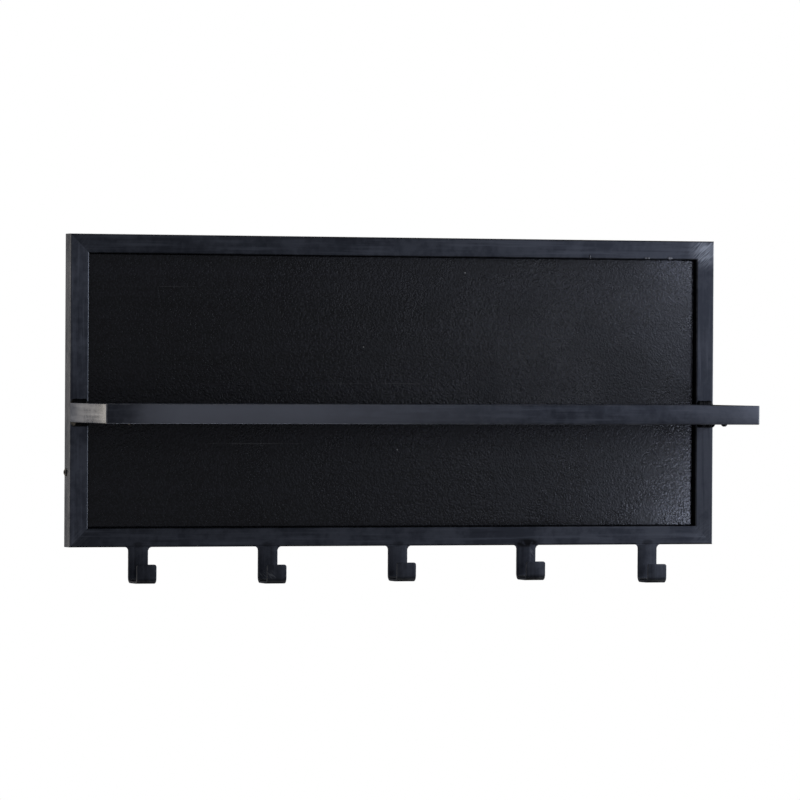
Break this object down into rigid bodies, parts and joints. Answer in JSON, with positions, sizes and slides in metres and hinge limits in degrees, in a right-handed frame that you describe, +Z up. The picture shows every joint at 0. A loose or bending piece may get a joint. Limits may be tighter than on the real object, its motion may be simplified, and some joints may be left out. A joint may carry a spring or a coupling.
{
  "type": "wall coat rack",
  "caption": "Wall coat rack: a welded square-tube frame round a stained wood panel, a shallow angle-iron shelf across its front and bent flat-bar hooks below.",
  "frame": {"origin": "centre of the top rail's back face, on the wall", "axes": "+X to the right along the rack, +Z up, +Y into the wall; the front faces -Y"},
  "size_m": [0.9066, 0.185, 0.456],
  "materials": {
    "blackened_steel": "blackened and clear-lacquered steel, satin, cloudy",
    "stained_wood": "black-stained boards under a semi-gloss, slightly pebbled varnish",
    "black_screw": "black phosphated screws, satin",
    "weld_metal": "blackened weld beads, rough"
  },
  "bodies": {
    "root": {"top_rail": "blackened_steel", "bottom_rail": "blackened_steel", "left_stile": "blackened_steel", "right_stile": "blackened_steel", "panel_board_top": "stained_wood", "panel_board_upper": "stained_wood", "panel_board_lower": "stained_wood", "panel_board_bottom": "stained_wood", "panel_ledge_top": "blackened_steel", "panel_ledge_bottom": "blackened_steel", "panel_ledge_left": "blackened_steel", "panel_ledge_right": "blackened_steel", "panel_ledge_screws": "black_screw", "panel_side_screws": "black_screw", "shelf_front_rail": "blackened_steel", "shelf_rear_rail": "blackened_steel", "shelf_left_rail": "blackened_steel", "shelf_right_rail": "blackened_steel", "shelf_board": "stained_wood", "shelf_screws": "black_screw", "shelf_welds": "weld_metal", "hook_1": "blackened_steel", "hook_2": "blackened_steel", "hook_3": "blackened_steel", "hook_4": "blackened_steel", "hook_5": "blackened_steel", "hook_welds": "weld_metal"}
  },
  "joints": []
}
